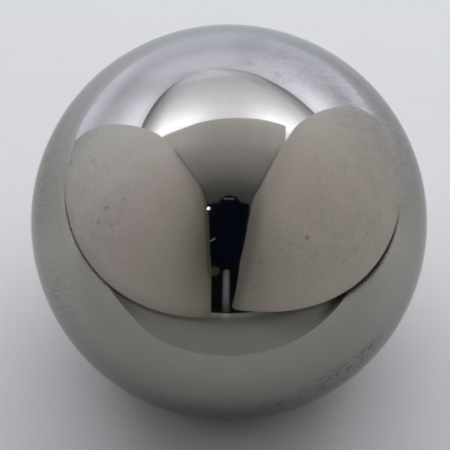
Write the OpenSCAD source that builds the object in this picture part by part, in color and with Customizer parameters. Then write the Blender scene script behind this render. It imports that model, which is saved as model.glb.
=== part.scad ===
// Carbide bearing ball: one solid sphere of sintered tungsten carbide, ground
// and lapped to a mirror finish. It has no flats, bores, seams or inner pieces.
// The origin is the centre of the ball and +Z points up, away from the seat
// that it stands on.

/* [Ball] */
// Nominal diameter of the ball (50.8 is the 2 inch size), mm
ball_d = 50.8; // [1:0.1:101.6]

/* [Hidden] */

// Facets round the equator when the ball is shown as a mesh
ball_facets = 180;

// The whole ball, solid right through and round in every direction
module ball() {
    color("darkgray") sphere(d = ball_d, $fn = ball_facets);
}

ball();
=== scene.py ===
import math

import bmesh
import bpy
from bpy.props import (
    FloatProperty,
    FloatVectorProperty,
    IntProperty,
    PointerProperty,
)
from mathutils import Matrix, Vector


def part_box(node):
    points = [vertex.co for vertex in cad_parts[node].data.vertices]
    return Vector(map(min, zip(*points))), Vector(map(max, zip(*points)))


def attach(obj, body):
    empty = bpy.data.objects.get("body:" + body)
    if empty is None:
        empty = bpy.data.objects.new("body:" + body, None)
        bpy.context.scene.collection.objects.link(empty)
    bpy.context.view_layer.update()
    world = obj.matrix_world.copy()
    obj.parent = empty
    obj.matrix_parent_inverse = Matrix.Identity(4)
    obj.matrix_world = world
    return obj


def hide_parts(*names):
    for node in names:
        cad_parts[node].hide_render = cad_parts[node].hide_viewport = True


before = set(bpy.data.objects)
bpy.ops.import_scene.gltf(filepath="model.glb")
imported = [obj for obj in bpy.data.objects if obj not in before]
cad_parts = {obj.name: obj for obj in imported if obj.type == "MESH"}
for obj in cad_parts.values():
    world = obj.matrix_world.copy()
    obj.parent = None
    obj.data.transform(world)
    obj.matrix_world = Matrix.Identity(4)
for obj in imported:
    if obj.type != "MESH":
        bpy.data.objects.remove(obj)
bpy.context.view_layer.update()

bl_info = {
    "name": "Carbide bearing ball",
    "version": (1, 0, 0),
    "blender": (4, 5, 0),
    "location": "3D View > Sidebar > Ball",
    "description": "A lapped tungsten carbide bearing ball on a pale floor in a paper light tent",
    "category": "Object",
}

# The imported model: the box of the whole part, and the one node that it has.
BALL_LOW, BALL_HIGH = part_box("ball")
BALL_CENTRE = (BALL_LOW + BALL_HIGH) / 2
BALL_RADIUS = (BALL_HIGH.z - BALL_LOW.z) / 2
FLOOR_HEIGHT = BALL_LOW.z

MM = 0.001

# The frame is 450 by 450 pixels, and this is where the ball's outline lies in it.
FRAME_PX = 450
OUTLINE_CENTRE_PX = (229.0, 222.4)
OUTLINE_RADIUS_PX = 198.25
SENSOR_MM = 36.0


def linear(hex_colour):
    """An sRGB colour such as #AABBCC as a linear RGBA tuple."""
    channels = [int(hex_colour[i : i + 2], 16) / 255 for i in (1, 3, 5)]
    return (*[c / 12.92 if c <= 0.04045 else ((c + 0.055) / 1.055) ** 2.4 for c in channels], 1.0)


# ---------------------------------------------------------------- settings


class CarbideBallSettings(bpy.types.PropertyGroup):
    """Sizes and finish of the ball."""

    diameter: FloatProperty(
        name="Diameter",
        description="Diameter of the ball, as the packed model has it",
        default=2 * BALL_RADIUS,
        unit="LENGTH",
    )
    quads_per_edge: IntProperty(
        name="Quads per edge",
        description="Quads along each edge of the cube that is blown up into the ball",
        default=128,
        min=8,
        max=128,
    )
    metal: FloatVectorProperty(
        name="Metal",
        description="Colour of the lapped carbide, which is its reflectance seen square on",
        default=linear("#A8A7A5")[:3],
        size=3,
        min=0,
        max=1,
        subtype="COLOR",
    )
    roughness: FloatProperty(
        name="Roughness",
        description="Roughness of the lapped surface between its marks",
        default=0.045,
        min=0,
        max=1,
        subtype="FACTOR",
    )
    wear: FloatProperty(
        name="Wear",
        description="How strongly the pits, scuffs and hairlines show",
        default=1.0,
        min=0,
        max=2,
        subtype="FACTOR",
    )
    scuff_size: FloatProperty(
        name="Scuff size",
        description="Distance between the loops of the small scuffs",
        default=1.1 * MM,
        unit="LENGTH",
    )
    pit_spacing: FloatProperty(
        name="Pit spacing",
        description="Distance between the stray pits, of which some show",
        default=1.5 * MM,
        unit="LENGTH",
    )
    pit_depth: FloatProperty(
        name="Pit depth",
        description="How deep the pits and scuffs are",
        default=0.002 * MM,
        unit="LENGTH",
    )


class StudioSettings(bpy.types.PropertyGroup):
    """Sizes of the studio and of the camera's place in it."""

    floor_size: FloatProperty(
        name="Floor",
        description="Width and depth of the pale floor",
        default=8.0,
        unit="LENGTH",
    )
    floor_colour: FloatVectorProperty(
        name="Floor colour",
        description="Colour of the matt paper on the floor",
        default=linear("#E5E7EC")[:3],
        size=3,
        min=0,
        max=1,
        subtype="COLOR",
    )
    room_colour: FloatVectorProperty(
        name="Room colour",
        description="Colour of the pale room far behind",
        default=linear("#D7DADE")[:3],
        size=3,
        min=0,
        max=1,
        subtype="COLOR",
    )
    tent_height: FloatProperty(
        name="Tent height",
        description="Height of the tent's ceiling above the middle of the ball",
        default=427 * MM,
        unit="LENGTH",
    )
    camera_distance: FloatProperty(
        name="Camera distance",
        description="From the camera to the middle of the ball",
        default=14 * BALL_RADIUS,
        unit="LENGTH",
    )
    camera_elevation: FloatProperty(
        name="Camera elevation",
        description="How far the camera looks down on the ball",
        default=math.radians(46),
        subtype="ANGLE",
    )


# ---------------------------------------------------------------- helpers


def add_node(tree, kind, inputs=None, **settings):
    """Adds a node with its settings, and sets or links its inputs, by name or number. Where an input is given
    as a node, its first output is meant."""
    made = tree.nodes.new(kind)
    for name, value in settings.items():
        setattr(made, name, value)
    for key, value in (inputs or {}).items():
        if isinstance(value, bpy.types.Node):
            value = value.outputs[0]
        if isinstance(value, bpy.types.NodeSocket):
            tree.links.new(value, made.inputs[key])
        else:
            made.inputs[key].default_value = value
    return made


def new_material(name):
    """An empty node material of that name, and its tree."""
    material = bpy.data.materials.new(name)
    material.use_nodes = True
    material.node_tree.nodes.clear()
    return material, material.node_tree


def new_object(name, data):
    """Puts a mesh, a light or a camera in the scene, at the origin and unturned."""
    made = bpy.data.objects.new(name, data)
    bpy.context.scene.collection.objects.link(made)
    return made


def smooth_run(points, steps=12):
    """A smooth curve through points, as a list of points (Catmull-Rom)."""
    knots = [Vector(p) for p in points]
    knots = [2 * knots[0] - knots[1], *knots, 2 * knots[-1] - knots[-2]]
    curve = []
    for a, b, c, d in zip(knots, knots[1:], knots[2:], knots[3:]):
        for t in (step / steps for step in range(steps)):
            bend, twist = 2 * a - 5 * b + 4 * c - d, 3 * b - a - 3 * c + d
            curve.append(0.5 * (2 * b + (c - a) * t + bend * t**2 + twist * t**3))
    curve.append(knots[-2])
    return curve


# ---------------------------------------------------------------- the ball


def ball_tree(material):
    """Geometry Nodes that blow a cube grid up into a ball, with even quads and closed poles."""
    tree = bpy.data.node_groups.new("blown_up_cube", "GeometryNodeTree")
    sockets = tree.interface
    sockets.new_socket("Radius", in_out="INPUT", socket_type="NodeSocketFloat")
    sockets.new_socket("Quads", in_out="INPUT", socket_type="NodeSocketInt")
    sockets.new_socket("Geometry", in_out="OUTPUT", socket_type="NodeSocketGeometry")
    given = add_node(tree, "NodeGroupInput")
    corners = add_node(tree, "ShaderNodeMath", {0: given.outputs["Quads"], 1: 1.0}, operation="ADD")
    counts = {f"Vertices {axis}": corners for axis in "XYZ"}
    cube = add_node(tree, "GeometryNodeMeshCube", {"Size": (2.0, 2.0, 2.0), **counts})
    # The tangent spaces the grid by equal angles, so that the quads near the cube's corners stay even.
    place = add_node(tree, "GeometryNodeInputPosition")
    angle = add_node(tree, "ShaderNodeVectorMath", {0: place, "Scale": math.pi / 4}, operation="SCALE")
    evened = add_node(tree, "ShaderNodeVectorMath", {0: angle}, operation="TANGENT")
    outward = add_node(tree, "ShaderNodeVectorMath", {0: evened}, operation="NORMALIZE")
    radius = given.outputs["Radius"]
    place = add_node(tree, "ShaderNodeVectorMath", {0: outward, "Scale": radius}, operation="SCALE")
    ball = add_node(tree, "GeometryNodeSetPosition", {"Geometry": cube, "Position": place})
    smooth = add_node(tree, "GeometryNodeSetShadeSmooth", {"Geometry": ball})
    real = add_node(tree, "GeometryNodeRealizeInstances", {"Geometry": smooth})
    dressed = add_node(tree, "GeometryNodeSetMaterial", {"Geometry": real, "Material": material})
    add_node(tree, "NodeGroupOutput", {0: dressed})
    return tree


# Where the marks are: degrees round to the right of the front, degrees up, and how far each reaches in mm.
DARK_PITS = (
    (28.1, 38.1, 0.5), (-48.4, 39.4, 0.3), (-49.2, 38.8, 0.34), (10.1, -20.0, 0.45), (27.9, -12.2, 0.5),
    (41.7, -8.5, 0.75), (45.2, -7.8, 0.75), (34.1, -10.4, 0.45), (32.4, -12.6, 0.45), (26.7, -15.0, 0.4),
)
FAINT_PITS = (
    (138.5, 81.4, 0.9), (102.9, 76.1, 0.9), (10.4, 34.8, 0.5), (8.1, 27.7, 0.5), (-76.2, 37.4, 0.6),
    (-67.4, 45.1, 0.5), (-48.9, 34.2, 0.5), (-43.6, 35.9, 0.5), (-26.8, -4.5, 0.4), (-43.8, 44.0, 0.5),
    (37.6, -15.1, 0.7), (21.7, -14.6, 0.5), (20.5, -20.3, 0.6), (14.6, -19.1, 0.7), (7.1, -23.6, 0.5),
)
SCUFFED = (
    (13.5, -20.5, 2.4), (18.0, -20.0, 3.0), (22.5, -19.0, 3.4), (27.0, -16.5, 4.2), (31.0, -17.0, 4.8),
    (36.0, -15.0, 4.4), (40.5, -12.0, 3.6), (45.0, -10.0, 3.0),
)
RUBBED = (
    (-52.0, 38.0, 11.0), (-74.0, 40.0, 9.0), (52.0, 42.0, 12.0), (80.0, 38.0, 12.0), (30.0, 38.0, 9.0),
    (100.0, 48.0, 12.0), (128.0, 72.0, 10.0), (-90.0, 22.0, 12.0),
)
HAIRLINED = (
    (-88.0, 18.0, 9.5), (-58.0, 5.0, 6.0), (103.0, 49.0, 11.0), (92.0, 30.0, 8.0),
)
# The scratch: where its ends are, and how far to either side its core and its edge lie, in mm.
SCRATCH_ENDS = ((36.0, 26.6), (62.5, 31.7))
SCRATCH_CORE = 0.03
SCRATCH_EDGE = 0.16
# The film on the rubbed places, as layers of noise: size in mm, detail, and share in the whole.
FILM_LAYERS = ((0.32, 1.0, 0.42), (0.9, 3.0, 0.33), (2.4, 1.0, 0.25))
FILM_ELSEWHERE = 0.25
# The hairlines: the turn about X that lays them, and their noise's size along X, along Y and across, in mm.
HAIRLINE_TURN = math.radians(-46)
HAIRLINE_SIZE = (2.6, 2.6, 0.36)
# How much of the light each kind of mark takes away where it is strongest.
LIGHT_TAKEN = {
    "dark_pits": 0.42,
    "faint_pits": 0.17,
    "scuffs": 0.52,
    "scratch": 0.2,
    "stray_pits": 0.16,
    "hairlines": 0.17,
    "film": 0.2,
}
# How much of the mirror image each kind of mark clouds over.
CLOUDED = {"film": 0.06, "hairlines": 0.1, "scuffs": 0.05}
CLOUDED_ROUGHNESS = 0.45
ROUGHER_IN_MARKS = 0.25
# The share of a plain metal's reflectance that is left at a glancing angle.
GLANCING_TINT = "#D8DADF"


def on_ball(azimuth, elevation):
    """A point on the ball, in mm from its middle."""
    a, e = math.radians(azimuth), math.radians(elevation)
    return Vector((math.sin(a) * math.cos(e), -math.cos(a) * math.cos(e), math.sin(e))) * (BALL_RADIUS / MM)


def patches(tree, place, spots, core=0.3):
    """1 in the core of each of the spots and 0 beyond its reach."""
    share = 0.0
    for azimuth, elevation, reach in spots:
        away = {0: place, 1: on_ball(azimuth, elevation)}
        away = add_node(tree, "ShaderNodeVectorMath", away, operation="DISTANCE").outputs["Value"]
        near = {"Value": away, "From Min": reach, "From Max": core * reach}
        near = add_node(tree, "ShaderNodeMapRange", near, interpolation_type="SMOOTHSTEP")
        share = add_node(tree, "ShaderNodeMath", {0: share, 1: near}, operation="MAXIMUM")
    return share


def cloud(tree, place, size, low, high, detail=2.0):
    """Noise with features about size mm across: 0 where it is below low and 1 where it is above high."""
    noise = {"Vector": place, "Scale": 1 / size, "Detail": detail, "Roughness": 0.6}
    noise = add_node(tree, "ShaderNodeTexNoise", noise)
    return add_node(tree, "ShaderNodeMapRange", {"Value": noise, "From Min": low, "From Max": high})


def scratch(tree, place):
    """One fine scratch, which is a broken arc of a great circle between its two ends."""
    ends = [on_ball(*end).normalized() for end in SCRATCH_ENDS]
    pole = ends[0].cross(ends[1]).normalized()
    aside = add_node(tree, "ShaderNodeVectorMath", {0: place, 1: pole}, operation="DOT_PRODUCT")
    aside = add_node(tree, "ShaderNodeMath", {0: aside.outputs["Value"]}, operation="ABSOLUTE")
    line = {"Value": aside, "From Min": SCRATCH_EDGE, "From Max": SCRATCH_CORE}
    line = add_node(tree, "ShaderNodeMapRange", line)
    middle = (ends[0] + ends[1]).normalized()
    along = add_node(tree, "ShaderNodeVectorMath", {0: place, 1: middle}, operation="DOT_PRODUCT")
    end = BALL_RADIUS / MM * ends[0].dot(middle)
    within = {"Value": along.outputs["Value"], "From Min": end, "From Max": end + 0.1}
    within = add_node(tree, "ShaderNodeMapRange", within)
    line = add_node(tree, "ShaderNodeMath", {0: line, 1: within}, operation="MULTIPLY")
    broken = cloud(tree, place, 0.6, 0.4, 0.6)
    return add_node(tree, "ShaderNodeMath", {0: line, 1: broken}, operation="MULTIPLY")


def lapped_carbide(settings):
    """Sintered tungsten carbide, ground and then lapped to a mirror, and handled for years. To the eye it
    is a grey mirror, a little warm, with crisp edges in it, that has gone faintly cloudy where it was
    rubbed, and carries stray pits, a band of looping scuffs and rows of hairlines from the lap."""
    material, tree = new_material("lapped_tungsten_carbide")
    metres = add_node(tree, "ShaderNodeTexCoord").outputs["Object"]
    place = add_node(tree, "ShaderNodeVectorMath", {0: metres, "Scale": 1 / MM}, operation="SCALE")

    # Rubbed places: the film and the fine scuffs there make the mirror uneven by a few hundredths. The real
    # ones are finer than 0.1 mm, too fine to show, so they are drawn 0.3 to 2.4 mm wide.
    film = 0.0
    for size, detail, share in FILM_LAYERS:
        layer = cloud(tree, place, size, 0.36, 0.64, detail)
        film = add_node(tree, "ShaderNodeMath", {0: layer, 1: share, 2: film}, operation="MULTIPLY_ADD")
    rubbed = {0: patches(tree, place, RUBBED), 1: 1 - FILM_ELSEWHERE, 2: FILM_ELSEWHERE}
    rubbed = add_node(tree, "ShaderNodeMath", rubbed, operation="MULTIPLY_ADD")
    film = add_node(tree, "ShaderNodeMath", {0: film, 1: rubbed}, operation="MULTIPLY")

    # Looping scuffs: the lines where a noise is close to its middle value, broken up by a coarser one.
    loops = {"Vector": place, "Scale": MM / settings.scuff_size, "Detail": 1.0, "Distortion": 0.6}
    loops = add_node(tree, "ShaderNodeTexNoise", loops)
    off_middle = add_node(tree, "ShaderNodeMath", {0: loops, 1: 0.5}, operation="SUBTRACT")
    off_middle = add_node(tree, "ShaderNodeMath", {0: off_middle}, operation="ABSOLUTE")
    scuffs = add_node(tree, "ShaderNodeMapRange", {"Value": off_middle, "From Min": 0.07, "From Max": 0.02})
    band = patches(tree, place, SCUFFED)
    for share in (cloud(tree, place, 1.5, 0.35, 0.47), band):
        scuffs = add_node(tree, "ShaderNodeMath", {0: scuffs, 1: share}, operation="MULTIPLY")

    # Hairlines from the lap: noise drawn out along one way. The real ones are a tenth as wide, too fine to
    # show, so they are drawn about 0.4 mm wide.
    stretched = {"Vector": place, "Rotation": (HAIRLINE_TURN, 0, 0), "Scale": HAIRLINE_SIZE}
    stretched = add_node(tree, "ShaderNodeMapping", stretched, vector_type="TEXTURE")
    hairs = {0: cloud(tree, stretched, 1.0, 0.42, 0.68), 1: patches(tree, place, HAIRLINED)}
    hairs = add_node(tree, "ShaderNodeMath", hairs, operation="MULTIPLY")

    # Stray pits about 0.3 mm wide, of which a coarse noise lets only some show.
    cells = add_node(tree, "ShaderNodeTexVoronoi", {"Vector": place, "Scale": MM / settings.pit_spacing})
    stray = add_node(tree, "ShaderNodeMapRange", {"Value": cells, "From Min": 0.13, "From Max": 0.04})
    stray = {0: stray, 1: cloud(tree, place, 4.0, 0.48, 0.6)}
    stray = add_node(tree, "ShaderNodeMath", stray, operation="MULTIPLY")

    # All the marks together: where two meet, the stronger one shows.
    marks = 0.0
    for kind, share in (
        ("dark_pits", patches(tree, place, DARK_PITS, core=0.0)),
        ("faint_pits", patches(tree, place, FAINT_PITS, core=0.0)),
        ("scuffs", scuffs),
        ("scratch", scratch(tree, place)),
        ("stray_pits", stray),
        ("hairlines", hairs),
    ):
        taken = {0: share, 1: LIGHT_TAKEN[kind] * settings.wear}
        taken = add_node(tree, "ShaderNodeMath", taken, operation="MULTIPLY")
        marks = add_node(tree, "ShaderNodeMath", {0: marks, 1: taken}, operation="MAXIMUM")
    taken = {0: film, 1: LIGHT_TAKEN["film"] * settings.wear, 2: marks}
    taken = add_node(tree, "ShaderNodeMath", taken, operation="MULTIPLY_ADD")
    left = add_node(tree, "ShaderNodeMath", {0: 1.0, 1: taken}, operation="SUBTRACT", use_clamp=True)
    colour = {0: tuple(settings.metal), "Scale": left}
    colour = add_node(tree, "ShaderNodeVectorMath", colour, operation="SCALE")
    rough = {0: marks, 1: ROUGHER_IN_MARKS, 2: settings.roughness}
    rough = add_node(tree, "ShaderNodeMath", rough, operation="MULTIPLY_ADD")
    bump = {"Strength": 1.0, "Distance": settings.pit_depth, "Height": marks}
    bump = add_node(tree, "ShaderNodeBump", bump, invert=True)
    polished = add_node(
        tree,
        "ShaderNodeBsdfPrincipled",
        {
            "Base Color": colour,
            "Metallic": 1.0,
            "Roughness": rough,
            "Specular Tint": linear(GLANCING_TINT),
            "Normal": bump,
        },
    )
    # The bottoms of the marks are rough: they scatter a little light from all round over the mirror image.
    clouded = {"Base Color": (*settings.metal, 1.0), "Metallic": 1.0, "Roughness": CLOUDED_ROUGHNESS}
    clouded = add_node(tree, "ShaderNodeBsdfPrincipled", clouded)
    cover = 0.0
    for kind, share in (("film", film), ("hairlines", hairs), ("scuffs", band)):
        cover = {0: share, 1: CLOUDED[kind], 2: cover}
        cover = add_node(tree, "ShaderNodeMath", cover, operation="MULTIPLY_ADD")
    surface = add_node(tree, "ShaderNodeMixShader", {0: cover, 1: polished, 2: clouded})
    add_node(tree, "ShaderNodeOutputMaterial", {"Surface": surface})
    return material


class MESH_OT_carbide_ball(bpy.types.Operator):
    """Makes the ball and gives it its lapped finish"""

    bl_idname = "mesh.carbide_ball"
    bl_label = "Carbide ball"

    def execute(self, context):
        settings = context.scene.carbide_ball
        tree = ball_tree(lapped_carbide(settings))
        maker = new_object("ball_maker", bpy.data.meshes.new("ball_maker"))
        modifier = maker.modifiers.new("blown_up_cube", "NODES")
        modifier.node_group = tree
        values = {"Radius": settings.diameter / 2, "Quads": settings.quads_per_edge}
        for socket in tree.interface.items_tree:
            if socket.in_out == "INPUT":
                modifier[socket.identifier] = values[socket.name]
        graph = context.evaluated_depsgraph_get()
        mesh = bpy.data.meshes.new_from_object(maker.evaluated_get(graph), depsgraph=graph)
        maker.modifiers.remove(modifier)
        bpy.data.objects.remove(maker)
        if not mesh.polygons:
            raise RuntimeError("the ball came out empty")
        mesh.name = "lapped_ball"
        mesh.transform(Matrix.Translation(BALL_CENTRE))
        ball = new_object("lapped_ball", mesh)
        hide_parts("ball")
        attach(ball, "root")
        return {"FINISHED"}


# ---------------------------------------------------------------- the studio

# Everything below is in millimetres from the middle of the ball: X to the camera's right, Y away from it.
FLOOR = FLOOR_HEIGHT / MM

# The two curved paper flags that stand left and right of the ball: the line that each stands on, from its
# front end, and the heights of its top and bottom edges above the floor along that line.
LEFT_FLAG_PLAN = ((-20, -215), (-120, -95), (-190, -10), (-245, 75), (-275, 165), (-285, 260))
LEFT_FLAG_TOP = (
    (
        (17, 20), (21, 90), (30, 140), (43, 204), (62, 264), (100, 320), (168, 355), (240, 384), (311, 396),
        (360, 398),
    ),
    ((360, 398), (390, 382), (418, 342), (454, 260), (488, 160), (508, 86), (513, 20)),
)
LEFT_FLAG_FOOT = ((14, 5), (60, 2), (175, 2), (250, 4), (353, 8), (440, 14), (513, 16))
RIGHT_FLAG_PLAN = ((12, -500), (70, -300), (107, -130), (133, 0), (157, 110), (175, 190))
RIGHT_FLAG_TOP = (
    ((10, 20), (44, 67), (90, 150), (118, 207), (157, 246), (201, 297), (249, 335), (290, 358), (334, 360)),
    ((334, 360), (376, 342), (418, 329), (471, 314), (509, 302), (547, 283)),
    ((547, 283), (592, 257), (630, 207), (668, 131), (694, 64), (700, 12)),
)
RIGHT_FLAG_FOOT = ((10, 10), (50, 0.5), (99, 0.5), (450, 0.5), (502, 2), (566, 5), (625, 11), (700, 12))
# The tent: the line of its back wall, which is also the edge of its ceiling, and the wall's length, the front
# corners of the ceiling, and the canopy's rear edge, front corners and place under the ceiling.
TENT_PLAN = (
    (-545, 60), (-434, 238), (-377, 338), (-315, 429), (-245, 515), (-150, 562), (-30, 572), (70, 540),
    (168, 478), (268, 421), (381, 366), (427, 347), (600, 262),
)
TENT_LENGTH = 1560
CEILING_FRONT = ((600, -84), (-545, -84))
CANOPY_REAR = (
    (-345, 83), (-269, 95), (-190, 99), (-106, 110), (5, 119), (60, 123), (117, 128), (167, 130),
    (227, 133),
)
CANOPY_FRONT = ((234, -462), (-345, -462))
CANOPY_BELOW_CEILING = 7
# The front edge of the floor's paper, beyond which the ball mirrors the dark table, the paper's far corners,
# and the ends of the table and of the ground below it.
PAPER_EDGE = (
    (-300, -86), (-140, -73), (-82, -69), (-50, -63.5), (-32, -61.5), (0, -63.5), (60, -63.5), (300, -72),
)
PAPER_BACK = ((700, 620), (-700, 620))
TABLE_FRONT = ((300, -310), (-300, -310))
BELOW_TABLE = ((-1200, -300), (-1200, -1500), (1200, -1500), (1200, -300))
# The dark room around it all: the line of its walls, their length and their height.
ROOM_PLAN = ((-900, 400), (-1200, -400), (-700, -1200), (0, -1500), (700, -1200), (1200, -400), (900, 400))
ROOM_LENGTH = 6500
ROOM_HEIGHT = 2500
# No standing sheet is lower than this anywhere.
LEAST_HEIGHT = 0.5
# How far above the floor each level sheet lies, and how far under the ceiling the shade of its rim does, so
# that no two of them share a plane.
MIRRORED_FLOOR_LIFT = 0.1
BELOW_TABLE_LIFT = 0.2
TABLE_LIFT = 0.3
FOOT_SHADE_LIFT = 0.5
CORNER_SHADE_LIFT = 0.6
RIM_SHADE_DROP = 2

# These sheets glow: the light and shade on them are painted in as emission. How bright each lit sheet is: a
# place in mm, and the brightness there on two lines along the sheet. Each of a sheet's fades, which paint in
# more shade or light, is a direction, its start and end in mm, and what the brightness is multiplied by
# beyond it.
LEFT_FLAG_LIGHT = (
    (-215, 0.16, 0.06), (-190, 0.27, 0.12), (-165, 0.35, 0.25), (-140, 0.42, 0.40), (-115, 0.47, 0.52),
    (-90, 0.51, 0.61), (-65, 0.56, 0.69), (-40, 0.60, 0.75), (0, 0.68, 0.84), (60, 0.73, 0.88),
    (120, 0.76, 0.92), (185, 0.70, 0.93), (260, 0.65, 1.00),
)
LEFT_FLAG_FADES = (
    ((0, 0, -1), -25 - FLOOR, -FLOOR, 0.8),
    ((0, -1, 0.3), 205, 245, 0.8),
    ((0, -1, 1), 320, 415, 0.78),
)
RIGHT_FLAG_LIGHT = (
    (-500, 0.20, 0.17), (-450, 0.22, 0.20), (-400, 0.26, 0.24), (-350, 0.31, 0.26), (-300, 0.35, 0.30),
    (-250, 0.39, 0.35), (-200, 0.45, 0.45), (-150, 0.48, 0.54), (-100, 0.54, 0.62), (-50, 0.59, 0.69),
    (0, 0.68, 0.77), (50, 0.70, 0.85), (100, 0.73, 0.90), (150, 0.79, 0.98), (190, 0.87, 1.15),
)
RIGHT_FLAG_FADES = (
    ((0, 0, -1), -25 - FLOOR, -FLOOR, 0.93),
    ((0, 0, 1), 170, 250, 0.9),
    ((0, -1, 1), 370, 480, 0.76),
)
CEILING_LIGHT = (
    (90, 1.34, 2.00), (110, 1.60, 2.75), (140, 1.66, 2.82), (160, 1.64, 2.55), (185, 1.60, 2.25),
    (210, 1.52, 1.98), (240, 1.46, 1.70), (270, 1.39, 1.54), (300, 1.31, 1.40), (330, 1.23, 1.31),
    (360, 1.20, 1.27), (390, 1.15, 1.23), (420, 1.14, 1.20), (445, 1.22, 1.26), (470, 1.30, 1.38),
    (560, 1.28, 1.36),
)
CEILING_FADES = (
    ((0.7, 1, 0), 460, 570, 0.56),
    ((0.5, 1, 0), 460, 540, 1.4),
    ((1, 1, 0), 440, 520, 0.9),
    ((-1, 0.3, 0), 320, 460, 0.46),
    ((-1, 0.6, 0), 360, 470, 0.88),
    ((-0.3, 1, 0), 450, 500, 1.06),
)
CANOPY_LIGHT = (
    (-400, 0.0, 0.0), (-340, 0.01, 0.05), (-290, 0.03, 0.17), (-250, 0.08, 0.135), (-210, 0.115, 0.14),
    (-170, 0.17, 0.24), (-140, 0.245, 0.305), (-110, 0.31, 0.36), (-80, 0.38, 0.405), (-50, 0.445, 0.48),
    (-20, 0.50, 0.57), (10, 0.575, 0.71), (40, 0.625, 0.80), (70, 0.68, 0.82), (95, 0.74, 0.90),
    (110, 0.80, 0.95), (133, 0.98, 1.05),
)
CANOPY_FADES = (((1, 0, 0), 80, 150, 0.9),)
# For the wall the places are heights above the floor.
WALL_LIGHT = (
    (0, 1.29, 1.02), (15, 1.33, 1.32), (35, 1.33, 1.40), (60, 1.32, 1.38), (100, 1.27, 1.24),
    (150, 1.21, 1.08), (180, 1.20, 1.14), (200, 1.23, 1.26), (250, 1.34, 1.52), (300, 1.41, 1.78),
    (350, 1.42, 2.00), (400, 1.40, 1.98), (440, 1.30, 1.70),
)
WALL_FADES = (
    ((-1, 0, 0.5), 340, 420, 0.9),
    ((-1, 0, 1), 520, 600, 0.92),
    ((-1, 0, -1), 160, 270, 1.16),
    ((1, 0, 0.5), 200, 260, 1.1),
    ((1, 0, 0.5), 340, 400, 0.94),
    ((1, 0, -1), 190, 350, 1.18),
    ((-1, 0, 0), 255, 300, 0.9),
    ((-1, 0, 0), 325, 365, 1.12),
    ((-1, 0, 0), 390, 450, 1.12),
    ((-1, 0, 0.5), 440, 600, 1.18),
    ((1, 0, 0), 0, 35, 0.94),
    ((1, 0, 0), 60, 110, 1.07),
    ((1, 0, 0), 265, 310, 0.93),
    ((1, 0, 0.8), 420, 600, 1.18),
)
TABLE_LIGHT = (
    (-310, 0.11, 0.12), (-300, 0.18, 0.17), (-280, 0.24, 0.19), (-250, 0.25, 0.18), (-220, 0.19, 0.15),
    (-190, 0.17, 0.12), (-160, 0.19, 0.13), (-140, 0.235, 0.16), (-120, 0.27, 0.20), (-100, 0.29, 0.24),
    (-80, 0.305, 0.22), (-60, 0.31, 0.22),
)
TABLE_FADES = (((1, 0, 0), 20, 60, 0.78),)
FAR_FLOOR_LIGHT = (
    (50, 0.81, 0.63), (75, 0.87, 0.66), (100, 0.91, 0.71), (150, 0.98, 0.78), (200, 1.05, 0.89),
    (300, 1.14, 1.02), (400, 1.21, 1.10), (560, 1.24, 1.15),
)
FAR_FLOOR_FADES = (
    ((1, 0, 0), 30, 80, 0.92),
    ((1, 0, 0), 90, 140, 1.12),
    ((-1, 0, 0), 180, 260, 0.93),
)
# Where the far floor's light takes over from the near floor's, and where a sheet's side tint ends.
FAR_FLOOR_RISE = ((0, -1, 0), -110, -55, 0.0)
SIDE_TINT_FADE = ((0, 1, 0), 130, 220, 0.0)
# How much of the floor's light the flags, the canopy and the camera keep from the ball's mirror image of it.
NEAR_FLOOR_SHADE = (
    (-90, 0.75), (-63, 0.76), (-45, 0.755), (-30, 0.775), (-15, 0.89), (5, 0.97), (15, 0.97), (35, 0.92),
    (60, 0.96), (90, 1.00),
)
NEAR_FLOOR_TINT = "#FFFBF2"
NEAR_FLOOR_FADES = (((-1, -1, 0), 90, 170, 1.18), ((1, -1, 0), 80, 130, 1.1))
# The painted shades where the flags stand, at the front corners of the paper and along the rim of the
# ceiling, and the painted glint beside the column's reflection on the floor: distance along the line, from
# where to where beside it, and how much light is left, which for the glint is more than all of it.
LEFT_FOOT_SHADE = (
    (0, 0, 30, 0.8), (60, 0, 30, 0.7), (105, -2, 28, 0.58), (145, -4, 25, 0.38), (160, -5, 21, 0.25),
    (190, -6, 17, 0.15), (250, -8, 16, 0.12), (300, -10, 17, 0.12), (327, -12, 17, 0.17),
    (355, -15, 16, 0.35), (392, -20, 12, 0.7), (430, -20, 10, 1.0),
)
RIGHT_FOOT_SHADE = (
    (110, 0, 10, 1.0), (170, 0, 18, 0.8), (300, 0, 20, 0.8), (370, 0, 24, 0.75), (400, -2, 27, 0.6),
    (425, -2, 30, 0.35), (440, -3, 34, 0.12), (455, -4, 33, 0.05), (490, -5, 28, 0.05), (510, -6, 20, 0.07),
    (525, -7, 15, 0.12), (542, -8, 10, 0.4), (565, -8, 6, 1.0),
)
CORNER_SHADE = ((0, 0, 8, 1.0), (20, 0, 26, 0.4), (40, 0, 34, 0.17), (65, 0, 38, 0.1))
LEFT_CORNER_SHADE = ((0, 0, 34, 0.55), (25, 0, 34, 0.65), (50, 0, 28, 0.8), (70, 0, 24, 1.0))
COLUMN_GLINT = ((0, 0, 12, 1.7), (60, 0, 12, 1.25), (140, 0, 10, 1.0))
RIM_SHADE = (
    (0, 0, 60, 0.6), (300, 0, 60, 0.57), (420, 0, 56, 0.62), (480, 0, 32, 0.74), (640, 0, 18, 0.9),
    (760, 0, 18, 0.85), (900, 0, 20, 0.8), (980, 0, 40, 0.7), (1050, 0, 62, 0.6), (1300, 0, 70, 0.56),
    (1700, 0, 70, 0.56),
)
CORNER_LINE = ((60, -64), (90, -65), (125, -67))
LEFT_CORNER_LINE = ((-135, -74), (-100, -71), (-65, -66))
GLINT_LINE = ((-9, -298), (-6, -250), (-5, -150))
# The share of a strip's width, from its start, that is as dark as its start.
SHADE_CORE = 0.3
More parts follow.
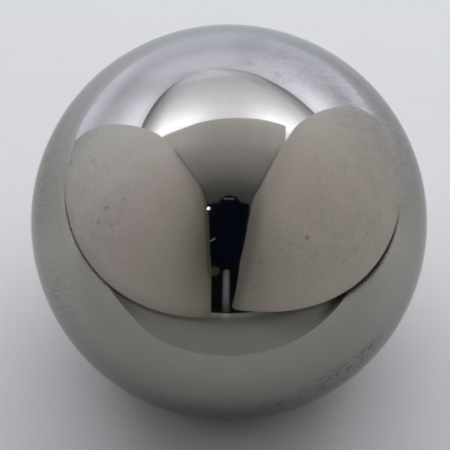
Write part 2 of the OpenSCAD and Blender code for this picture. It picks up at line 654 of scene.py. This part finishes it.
# The dark lines along the top edges of the flags: distance along the flag's line, and the heights above
# the floor between which the shade lies.
LEFT_EDGE_SHADE = (
    (23, 90, 75), (33, 150, 105), (45, 215, 165), (62, 278, 228), (78, 309, 280), (102, 328, 308),
    (129, 342, 325), (161, 356, 340), (202, 376, 360), (240, 393, 377), (263, 401, 386), (287, 410, 402),
)
RIGHT_EDGE_SHADE = (
    (325, 368, 360), (344, 367, 352), (374, 361, 342), (400, 354, 333), (430, 343, 323), (458, 331, 314),
    (484, 321, 306), (506, 311, 300), (523, 303, 296),
)
# Each of those lines is two thin sheets just in front of the flag: its distance from the ball against the
# flag's, how much wider than the line it is, and what it lets through on the left and on the right.
EDGE_SHEETS = (
    (0.99, 0, {"left": "#E2E1E0", "right": "#F3F0EE"}),
    (0.985, 7, {"left": "#F3F2F1", "right": "#F6F4F2"}),
)
# What stands in the gap between the flags, as plain shapes in the plane of the lens, right and up from it.
CAMERA_OUTLINE = (
    (-110, 40), (-95, 58), (-66, 65), (-36, 66), (-29, 75), (-26, 83), (-15, 91), (2, 92.5), (19, 91),
    (29, 84), (34, 75), (43, 66), (60, 65), (70, 61), (66, 13), (58, -44), (45, -112), (38, -150),
    (-100, -150),
)
TOP_PLATE_OUTLINE = ((-19, 78.5), (-19, 83), (10, 83), (20, 80.5), (20, 78.5))
# The other things there stand upright: how far from the ball, and the corners, right of it and up.
TRIPOD_COLUMN = (-330, ((-18.5, 117), (-19.5, -24), (2.5, -24), (1.5, 120), (-8, 123)))
STRAP_END = (-240, ((-55, 169), (-56, 173), (-39, 186), (-38, 181)))
FAR_BOX = (-332, ((-66, 133), (-38, 132), (-31, 124), (-32, 110), (-40, 98), (-66, 98)))
LAMP_MIDDLE = (-52, -160, 216.5)
LAMP_HALF_SIZE = (3.3, 5.5)
LAMP_CORNERS = 16
# The tripod column's light along its height and the shade towards its sides are painted in as emission.
COLUMN_LIGHT = (
    (-30, 0.07, 0.07), (-10, 0.09, 0.09), (15, 0.17, 0.17), (50, 0.22, 0.22), (90, 0.22, 0.22),
    (119, 0.15, 0.15),
)
COLUMN_FADES = (((-1, 0, 0), 12, 18, 0.5), ((1, 0, 0), -4, 2, 0.45))


def only_in_reflections(item):
    """The ball mirrors it, but it neither shows nor lights nor shades anything."""
    for ray in ("camera", "diffuse", "transmission", "volume_scatter", "shadow"):
        setattr(item, f"visible_{ray}", False)


def run_of(tree, place, stops):
    """A smooth run of colours: each stop is a place in mm and a grey level or a hex colour."""
    first, last = stops[0][0], stops[-1][0]
    share = {"Value": place, "From Min": first * MM, "From Max": last * MM}
    share = add_node(tree, "ShaderNodeMapRange", share)
    ramp = add_node(tree, "ShaderNodeValToRGB", {"Fac": share})
    ramp.color_ramp.interpolation = "CARDINAL"
    elements = ramp.color_ramp.elements
    while len(elements) < len(stops):
        elements.new(0.5)
    # The places come first, because a stop that moves past another takes its number.
    for element, stop in zip(elements, stops):
        element.position = (stop[0] - first) / (last - first)
    for element, stop in zip(elements, stops):
        element.color = linear(stop[1]) if isinstance(stop[1], str) else (*(stop[1],) * 3, 1.0)
    return ramp


def faded(tree, place, level, fades):
    """Multiplies a level by fades: each is a direction, its start and end in mm, and the factor beyond."""
    for direction, start, end, left in fades:
        along = add_node(tree, "ShaderNodeVectorMath", {0: place, 1: direction}, operation="DOT_PRODUCT")
        factor = {"Value": along.outputs["Value"], "From Min": start * MM, "From Max": end * MM}
        factor |= {"To Min": 1.0, "To Max": left}
        factor = add_node(tree, "ShaderNodeMapRange", factor, interpolation_type="SMOOTHSTEP")
        level = add_node(tree, "ShaderNodeMath", {0: level, 1: factor}, operation="MULTIPLY")
    return level


def glow(tree, stops, along, across, reach, tints, fades, side_tint=None):
    """Emission whose level runs along one axis through stops, and goes over from the first level of each
    to its second within reach on the axis across. The tints are spread evenly along the same run, and the
    side tint takes their place where the second levels do, up to the tent's rear."""
    place = add_node(tree, "ShaderNodeTexCoord").outputs["Object"]
    parts = add_node(tree, "ShaderNodeSeparateXYZ", {0: place})
    aside = parts.outputs[across]
    if across == "X":
        aside = add_node(tree, "ShaderNodeMath", {0: aside}, operation="ABSOLUTE")
    share = {"Value": aside, "From Min": reach[0] * MM, "From Max": reach[1] * MM}
    share = add_node(tree, "ShaderNodeMapRange", share, interpolation_type="SMOOTHSTEP")
    brightest = max(max(stop[1:]) for stop in stops)
    first, last = stops[0][0], stops[-1][0]
    runs = [
        run_of(tree, parts.outputs[along], [(stop[0], stop[column] / brightest) for stop in stops])
        for column in (1, 2)
    ]
    # The Mix node's inputs 2 and 3 are its numbers, and 6 and 7 are its colours.
    level = add_node(tree, "ShaderNodeMix", {"Factor": share, 2: runs[0], 3: runs[1]})
    level = faded(tree, place, level, fades)
    level = add_node(tree, "ShaderNodeMath", {0: level, 1: brightest}, operation="MULTIPLY")
    step = (last - first) / (len(tints) - 1)
    tint = run_of(tree, parts.outputs[along], [(first + i * step, t) for i, t in enumerate(tints)])
    if side_tint:
        share = faded(tree, place, share, [SIDE_TINT_FADE])
        tint = {"Factor": share, 6: tint, 7: linear(side_tint)}
        tint = add_node(tree, "ShaderNodeMix", tint, data_type="RGBA").outputs[2]
    return add_node(tree, "ShaderNodeEmission", {"Color": tint, "Strength": level})


def lit_paper(name, stops, reach, tints, fades, along="Y", across="X"):
    """A sheet of paper as the ball sees it, with its light and shade painted in as emission."""
    material, tree = new_material(name)
    light = glow(tree, stops, along, across, reach, tints, fades)
    add_node(tree, "ShaderNodeOutputMaterial", {"Surface": light})
    return material


def plain_glow(name, colour, brightness=1.0):
    """One even brightness, for the small and the dark things around the tent."""
    material, tree = new_material(name)
    light = add_node(tree, "ShaderNodeEmission", {"Color": linear(colour), "Strength": brightness})
    add_node(tree, "ShaderNodeOutputMaterial", {"Surface": light})
    return material


def height_at(stops, distance):
    """The height that a list of (distance, height) gives at a distance."""
    for (a, low), (b, high) in zip(stops, stops[1:]):
        if distance <= b:
            return low + (high - low) * max(0.0, (distance - a) / (b - a))
    return stops[-1][1]


def stage_mesh(name, faces, material):
    """A mesh of separate faces, each a list of corners in mm, that shows only in the ball."""
    mesh = bpy.data.meshes.new(name)
    build = bmesh.new()
    for face in faces:
        build.faces.new([build.verts.new(Vector(corner) * MM) for corner in face])
    build.to_mesh(mesh)
    build.free()
    mesh.materials.append(material)
    made = new_object(name, mesh)
    only_in_reflections(made)
    return made


def standing_sheet(name, plan, top, foot, material):
    """A sheet that stands on the floor along plan, between its foot and its top edge."""
    line = smooth_run(plan, 40)
    run = [0.0]
    for a, b in zip(line, line[1:]):
        run.append(run[-1] + (b - a).length)
    columns = []
    for distance, height in [point for part in top for point in smooth_run(part)]:
        i = next((k for k, r in enumerate(run[1:]) if r >= distance), len(run) - 2)
        x, y = line[i].lerp(line[i + 1], (distance - run[i]) / (run[i + 1] - run[i]))
        low = height_at(foot, distance)
        columns.append([(x, y, FLOOR + z) for z in (low, max(height, low + LEAST_HEIGHT))])
    stage_mesh(name, [(a, c, d, b) for (a, b), (c, d) in zip(columns, columns[1:])], material)


def level_sheet(name, outline, height, material):
    """A level sheet at a height, with its corners in order around it."""
    stage_mesh(name, [[(x, y, height) for x, y in outline]], material)


def shade_strip(name, plan, height, stops, side=1):
    """A soft painted shade, or a painted glint where more light than all is left, that lies along a line.
    Each stop is a distance along it, how far from it the shade starts and ends, to the line's right or, for
    side -1, its left, and how much light is left where it starts."""
    line = smooth_run(plan, 20)
    rails = []
    depths = []
    run = 0.0
    for i, point in enumerate(line):
        before = line[max(i - 1, 0)]
        ahead = line[min(i + 1, len(line) - 1)] - before
        run += (point - before).length
        if not stops[0][0] <= run <= stops[-1][0]:
            continue
        start, end, left = [height_at([(stop[0], stop[k]) for stop in stops], run) for k in (1, 2, 3)]
        aside = Vector((ahead[1], -ahead[0])).normalized() * side
        rails.append([(point[0] + aside[0] * d, point[1] + aside[1] * d, height) for d in (start, end)])
        depths.append(left)
    material, tree = new_material(name + "_shade")
    inward = add_node(tree, "ShaderNodeAttribute", attribute_name="inward").outputs["Fac"]
    depth = add_node(tree, "ShaderNodeAttribute", attribute_name="light_left").outputs["Fac"]
    factor = {"Value": inward, "From Min": SHADE_CORE, "To Min": depth}
    factor = add_node(tree, "ShaderNodeMapRange", factor, interpolation_type="SMOOTHSTEP")
    clear = add_node(tree, "ShaderNodeBsdfTransparent", {"Color": factor})
    add_node(tree, "ShaderNodeOutputMaterial", {"Surface": clear})
    strip = stage_mesh(name, [(a, c, d, b) for (a, b), (c, d) in zip(rails, rails[1:])], material)
    for key, values in (
        ("inward", [0.0, 0.0, 1.0, 1.0] * (len(rails) - 1)),
        ("light_left", [v for a, b in zip(depths, depths[1:]) for v in (a, b, b, a)]),
    ):
        strip.data.attributes.new(key, "FLOAT", "POINT").data.foreach_set("value", values)


def veil(colour):
    """Lets light through, less what it takes away: for shade on what lies behind it."""
    material, tree = new_material("thin_shade")
    clear = add_node(tree, "ShaderNodeBsdfTransparent", {"Color": linear(colour)})
    add_node(tree, "ShaderNodeOutputMaterial", {"Surface": clear})
    return material


def floor_in_the_mirror():
    """What the ball mirrors of the floor beyond what the soft boxes give: the shade of the flags near the
    ball, and the bright sweep of paper up to the tent's back wall."""
    material, tree = new_material("floor_paper_in_the_mirror")
    place = add_node(tree, "ShaderNodeTexCoord").outputs["Object"]
    away = add_node(tree, "ShaderNodeSeparateXYZ", {0: place}).outputs["Y"]
    shade = faded(tree, place, run_of(tree, away, NEAR_FLOOR_SHADE), NEAR_FLOOR_FADES)
    shade = {0: linear(NEAR_FLOOR_TINT)[:3], "Scale": shade}
    shade = add_node(tree, "ShaderNodeVectorMath", shade, operation="SCALE")
    near = add_node(tree, "ShaderNodeBsdfTransparent", {"Color": shade})
    tints = ("#F8FAFF", "#F7FAFF")
    far = glow(tree, FAR_FLOOR_LIGHT, "Y", "X", (20, 160), tints, FAR_FLOOR_FADES, side_tint="#FFFBF9")
    share = faded(tree, place, 1.0, [FAR_FLOOR_RISE])
    blend = add_node(tree, "ShaderNodeMixShader", {0: share, 1: near, 2: far})
    add_node(tree, "ShaderNodeOutputMaterial", {"Surface": blend})
    outline = [*smooth_run(PAPER_EDGE, 6), *PAPER_BACK]
    level_sheet("mirrored_floor", outline, FLOOR + MIRRORED_FLOOR_LIFT, material)


def camera_axes(settings):
    """The way back from the ball to the camera, and the way up in its view."""
    tilt = settings.camera_elevation
    return Vector((0, -math.cos(tilt), math.sin(tilt))), Vector((0, math.sin(tilt), math.cos(tilt)))


def small_things(settings):
    """The dark and bright odds and ends in the gap between the flags, as plain unmarked shapes."""
    back, up = camera_axes(settings)
    lens = back * settings.camera_distance / MM
    for name, outline, nearer, material in (
        ("camera_body", CAMERA_OUTLINE, 0, plain_glow("black_camera_body", "#030818")),
        # The top plate's grey is a painted reflection of the dim sky.
        ("camera_top_plate", TOP_PLATE_OUTLINE, 1, plain_glow("dim_sky_on_the_camera", "#7B7E85")),
    ):
        corners = [lens - back * nearer + Vector((x, 0, 0)) + up * y for x, y in outline]
        stage_mesh(name, [corners], material)
    grey = lit_paper(
        "grey_tripod_column_painted_light", COLUMN_LIGHT, (0, 120), ("#F0F6FF", "#F6FCFF"), COLUMN_FADES, along="Z"
    )
    for name, (away, outline), material in (
        ("tripod_column", TRIPOD_COLUMN, grey),
        ("strap_end", STRAP_END, plain_glow("pale_strap_end", "#8A8A8C")),
        ("far_box", FAR_BOX, plain_glow("dim_green_box", "#3A3F34")),
    ):
        stage_mesh(name, [[(x, away, z) for x, z in outline]], material)
    x, y, z = LAMP_MIDDLE
    wide, high = LAMP_HALF_SIZE
    turns = [2 * math.pi * k / LAMP_CORNERS for k in range(LAMP_CORNERS)]
    disc = [(x + wide * math.cos(turn), y, z + high * math.sin(turn)) for turn in turns]
    stage_mesh("small_lamp", [disc], plain_glow("small_bright_lamp", "#FFFFFF", 6.0))


# The floor's paper: bundles of fibres about 1 mm across, and the cloudiness of the sheet over some 15 mm.
# Each is its size in mm, its detail and how much it takes away at most. The level is what it takes it from.
PAPER_UNEVENNESS = ((1.2, 3.0, 0.016), (15.0, 1.0, 0.014))
PAPER_LEVEL = 1.025
# The floor goes over into the pale room between these two distances from the ball.
ROOM_START = 150
ROOM_FULL = 360


def pale_floor(settings):
    """Pale, slightly cool matt paper, which goes over into the pale room far away from the ball. To the eye
    it is even and soft, with the faint mottling of pressed fibres, and no gloss."""
    material, tree = new_material("pale_matt_paper")
    metres = add_node(tree, "ShaderNodeTexCoord").outputs["Object"]
    place = add_node(tree, "ShaderNodeVectorMath", {0: metres, "Scale": 1 / MM}, operation="SCALE")
    uneven = 0.0
    for size, detail, depth in PAPER_UNEVENNESS:
        patch = cloud(tree, place, size, 0.3, 0.7, detail)
        uneven = add_node(tree, "ShaderNodeMath", {0: patch, 1: depth, 2: uneven}, operation="MULTIPLY_ADD")
    level = add_node(tree, "ShaderNodeMath", {0: PAPER_LEVEL, 1: uneven}, operation="SUBTRACT")
    colour = {0: tuple(settings.floor_colour), "Scale": level}
    colour = add_node(tree, "ShaderNodeVectorMath", colour, operation="SCALE")
    paper = {"Base Color": colour, "Roughness": 0.9, "Specular IOR Level": 0.1}
    paper = add_node(tree, "ShaderNodeBsdfPrincipled", paper)
    room = add_node(tree, "ShaderNodeEmission", {"Color": (*settings.room_colour, 1.0)})
    away = add_node(tree, "ShaderNodeVectorMath", {0: metres}, operation="LENGTH").outputs["Value"]
    share = {"Value": away, "From Min": ROOM_START * MM, "From Max": ROOM_FULL * MM}
    share = add_node(tree, "ShaderNodeMapRange", share, interpolation_type="SMOOTHSTEP")
    blend = add_node(tree, "ShaderNodeMixShader", {0: share, 1: paper, 2: room})
    add_node(tree, "ShaderNodeOutputMaterial", {"Surface": blend})
    mesh = bpy.data.meshes.new("studio_floor")
    build = bmesh.new()
    half = settings.floor_size / 2
    corners = ((-half, -half), (half, -half), (half, half), (-half, half))
    build.faces.new([build.verts.new((x, y, FLOOR_HEIGHT)) for x, y in corners])
    build.to_mesh(mesh)
    build.free()
    mesh.materials.append(material)
    floor = new_object("studio_floor", mesh)


def place_camera(settings):
    """The camera looks down on the ball, with the lens that gives the ball its size in the frame."""
    data = bpy.data.cameras.new("camera")
    camera = new_object("camera", data)
    back, up = camera_axes(settings)
    right = Vector((1, 0, 0))
    distance = settings.camera_distance
    half_angle = math.asin(BALL_RADIUS / distance)
    focal_px = OUTLINE_RADIUS_PX / math.tan(half_angle)
    data.sensor_width = SENSOR_MM
    data.lens = focal_px * SENSOR_MM / FRAME_PX
    data.clip_start = 0.01
    data.clip_end = 50
    aside = (FRAME_PX / 2 - OUTLINE_CENTRE_PX[0]) * distance / focal_px
    above = (OUTLINE_CENTRE_PX[1] - FRAME_PX / 2) * distance / focal_px
    target = BALL_CENTRE + right * aside + up * above
    camera.location = BALL_CENTRE + back * distance
    camera.rotation_euler = (target - camera.location).to_track_quat("-Z", "Y").to_euler()
    bpy.context.scene.camera = camera


def soft_box(name, place, facing, size, brightness):
    """A soft box at place, in mm, that lights the floor but isn't mirrored in the ball."""
    data = bpy.data.lights.new(name, "AREA")
    data.shape = "RECTANGLE"
    data.size = size[0] * MM
    data.size_y = size[1] * MM
    data.energy = brightness * math.pi * data.size * data.size_y
    light = new_object(name, data)
    light.location = Vector(place) * MM
    light.rotation_euler = Vector(facing).to_track_quat("-Z", "Y").to_euler()
    light.visible_glossy = False
    light.visible_camera = False


# The soft boxes: name, middle, the way that it faces, width and height in mm, and brightness.
SOFT_BOXES = (
    ("roof_light", (0, 230, 305), (0, 0, -1), (640, 280), 1.8),
    ("left_light", (-225, 60, 170), (1, -0.1, -0.5), (260, 280), 0.44),
    ("right_light", (185, 60, 170), (-1, -0.1, -0.5), (260, 260), 0.51),
    ("top_light", (0, 10, 300), (0, 0, -1), (380, 150), 1.67),
    ("front_light", (0, -350, 200), (0, 1, -0.5), (500, 200), 0.1),
    ("high_front_light", (0, -260, 360), (0, 0.7, -1), (420, 160), 0.93),
    ("high_left_light", (-300, 0, 300), (1, 0, -1), (160, 200), 0.35),
    ("high_right_light", (300, 0, 300), (-1, 0, -1), (160, 200), 0.51),
)


def put_up_tent(ceiling):
    """The tent's back wall, its ceiling and the front canopy."""
    wall = [(FLOOR + height, *levels) for height, *levels in WALL_LIGHT]
    wall = lit_paper("tent_wall_paper", wall, (180, 420), ("#F1F3FF", "#F1F3FF"), WALL_FADES, along="Z")
    top = ((0, ceiling - FLOOR), (TENT_LENGTH, ceiling - FLOOR))
    standing_sheet("tent_wall", TENT_PLAN, (top,), ((0, 0), (TENT_LENGTH, 0)), wall)
    tints = ("#FCFCFF", "#FAFBFF", "#F6F8FF", "#F1F3FF")
    roof = lit_paper("tent_ceiling_paper", CEILING_LIGHT, (20, 180), tints, CEILING_FADES)
    level_sheet("tent_ceiling", [*smooth_run(TENT_PLAN, 8), *CEILING_FRONT], ceiling, roof)
    tints = ("#EEFFFA", "#F4FDF8", "#FFFBF5", "#FFF9F2", "#FFFBF6")
    canopy = lit_paper("front_canopy_paper", CANOPY_LIGHT, (40, 200), tints, CANOPY_FADES)
    outline = [*smooth_run(CANOPY_REAR, 6), *CANOPY_FRONT]
    level_sheet("front_canopy", outline, ceiling - CANOPY_BELOW_CEILING, canopy)


def put_up_flags():
    """The two curved paper flags left and right of the ball."""
    tints = ("#FFFCE7", "#FFF3EC", "#FFF9F4", "#FFFEFB", "#FFFFFF")
    left = lit_paper("left_flag_paper", LEFT_FLAG_LIGHT, (-20, 130), tints, LEFT_FLAG_FADES, across="Z")
    standing_sheet("left_flag", LEFT_FLAG_PLAN, LEFT_FLAG_TOP, LEFT_FLAG_FOOT, left)
    tints = ("#FFFCE7", "#FFF4EA", "#FFF4EA", "#FFF5EE", "#FFFAF6")
    right = lit_paper("right_flag_paper", RIGHT_FLAG_LIGHT, (-20, 140), tints, RIGHT_FLAG_FADES, across="Z")
    standing_sheet("right_flag", RIGHT_FLAG_PLAN, RIGHT_FLAG_TOP, RIGHT_FLAG_FOOT, right)


def lay_shades(ceiling):
    """The soft shades and dark lines at the feet and edges of the flags, the paper and the ceiling."""
    shade_strip("left_flag_foot", LEFT_FLAG_PLAN, FLOOR + FOOT_SHADE_LIFT, LEFT_FOOT_SHADE)
    shade_strip("right_flag_foot", RIGHT_FLAG_PLAN, FLOOR + FOOT_SHADE_LIFT, RIGHT_FOOT_SHADE, side=-1)
    for side, plan, edge in (
        ("left", LEFT_FLAG_PLAN, LEFT_EDGE_SHADE),
        ("right", RIGHT_FLAG_PLAN, RIGHT_EDGE_SHADE),
    ):
        for nearer, wider, let_through in EDGE_SHEETS:
            line = [(nearer * x, nearer * y) for x, y in plan]
            top = [(distance, high + wider) for distance, high, _ in edge]
            foot = [(distance, low - wider) for distance, _, low in edge]
            standing_sheet(f"{side}_edge_shade", line, (top,), foot, veil(let_through[side]))
    height = FLOOR + CORNER_SHADE_LIFT
    for side in (1, -1):
        shade_strip("column_glint", GLINT_LINE, height, COLUMN_GLINT, side)
    shade_strip("paper_corner", CORNER_LINE, height, CORNER_SHADE)
    shade_strip("left_paper_corner", LEFT_CORNER_LINE, height, LEFT_CORNER_SHADE)
    shade_strip("tent_rim", TENT_PLAN, ceiling - RIM_SHADE_DROP, RIM_SHADE)


def lay_table():
    """The dark table in front of the paper, with its tone and the flags' shade on it painted in as emission,
    and the dark room around and below it, whose near-black glow is painted shade.
    """
    table = lit_paper("table_front_tone_and_painted_shade", TABLE_LIGHT, (30, 105), ("#F8FFF4", "#FFFEFA"), TABLE_FADES)
    level_sheet("table_front", [*smooth_run(PAPER_EDGE, 6), *TABLE_FRONT], FLOOR + TABLE_LIFT, table)
    dark = plain_glow("dark_room", "#0A0A0C")
    level_sheet("below_table", BELOW_TABLE, FLOOR + BELOW_TABLE_LIFT, dark)
    top = ((0, ROOM_HEIGHT), (ROOM_LENGTH, ROOM_HEIGHT))
    standing_sheet("dark_room", ROOM_PLAN, (top,), ((0, 0), (ROOM_LENGTH, 0)), dark)


class SCENE_OT_paper_tent(bpy.types.Operator):
    """Sets up the pale floor, the paper light tent that the ball mirrors, the lights and the camera"""

    bl_idname = "scene.paper_tent"
    bl_label = "Studio"

    def execute(self, context):
        settings = context.scene.paper_tent
        ceiling = settings.tent_height / MM
        pale_floor(settings)
        put_up_tent(ceiling)
        put_up_flags()
        lay_shades(ceiling)
        floor_in_the_mirror()
        lay_table()
        small_things(settings)
        for box in SOFT_BOXES:
            soft_box(*box)
        world = bpy.data.worlds.new("pale_room")
        world.use_nodes = True
        world.node_tree.nodes["Background"].inputs["Color"].default_value = (*settings.room_colour, 1.0)
        world.cycles_visibility.diffuse = False
        context.scene.world = world
        context.scene.view_settings.view_transform = "Standard"
        place_camera(settings)
        return {"FINISHED"}


# ---------------------------------------------------------------- the add-on


class VIEW3D_PT_carbide_ball(bpy.types.Panel):
    """Lists the ball, the studio and their settings"""

    bl_idname = "VIEW3D_PT_carbide_ball"
    bl_label = "Carbide ball"
    bl_space_type = "VIEW_3D"
    bl_region_type = "UI"
    bl_category = "Ball"

    def draw(self, context):
        for settings, operator in (
            (context.scene.carbide_ball, MESH_OT_carbide_ball),
            (context.scene.paper_tent, SCENE_OT_paper_tent),
        ):
            column = self.layout.column()
            for name in settings.__annotations__:
                column.prop(settings, name)
            column.operator(operator.bl_idname)


CLASSES = (
    CarbideBallSettings,
    StudioSettings,
    MESH_OT_carbide_ball,
    SCENE_OT_paper_tent,
    VIEW3D_PT_carbide_ball,
)


def register():
    for cls in CLASSES:
        bpy.utils.register_class(cls)
    bpy.types.Scene.carbide_ball = PointerProperty(type=CarbideBallSettings)
    bpy.types.Scene.paper_tent = PointerProperty(type=StudioSettings)


def unregister():
    del bpy.types.Scene.paper_tent
    del bpy.types.Scene.carbide_ball
    for cls in reversed(CLASSES):
        bpy.utils.unregister_class(cls)


def main():
    register()
    bpy.ops.mesh.carbide_ball()
    bpy.ops.scene.paper_tent()


if __name__ == "__main__":
    main()
